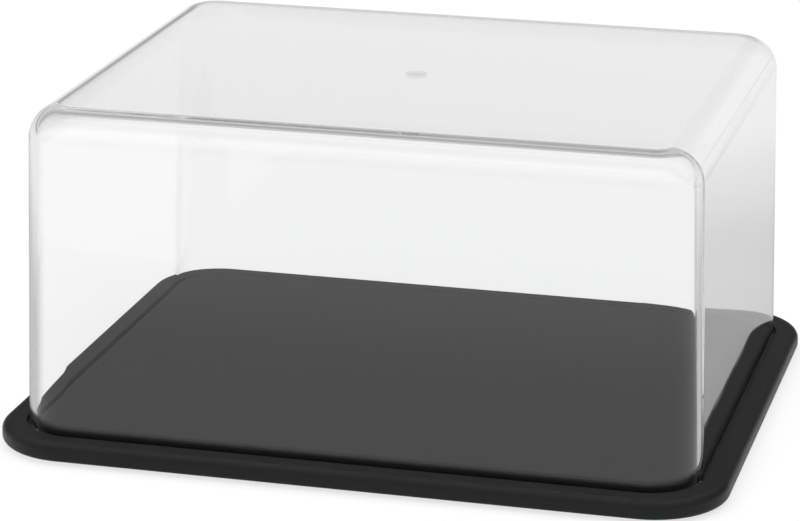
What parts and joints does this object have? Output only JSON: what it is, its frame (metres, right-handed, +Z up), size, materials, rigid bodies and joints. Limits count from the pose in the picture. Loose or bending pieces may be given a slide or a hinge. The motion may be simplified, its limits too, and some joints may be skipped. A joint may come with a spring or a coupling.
{
  "type": "cheese storage box",
  "caption": "Clear rectangular cover that seats in a groove round the raised middle of a dark moulded board on soft feet, for keeping cheese fresh.",
  "frame": {"origin": "middle of the footprint, on the surface that the feet stand on", "axes": "+X along the long side, +Y from the front to the back, +Z up; the cover lifts along +Z"},
  "size_m": [0.2536, 0.21, 0.1199],
  "materials": {
    "board_plastic": "black, smooth satin with soft reflections",
    "clear_plastic": "water-clear, polished",
    "foot_rubber": "soft, matt dark grey"
  },
  "bodies": {
    "base": {"board": "board_plastic", "foot_front_left": "foot_rubber", "foot_front_right": "foot_rubber", "foot_back_left": "foot_rubber", "foot_back_right": "foot_rubber"},
    "lid": {"cover": "clear_plastic"}
  },
  "joints": [
    {"name": "cover_lift", "type": "slide", "parent": "base", "child": "lid", "axis": [0, 0, 1], "range_m": [0, 0.14]}
  ]
}
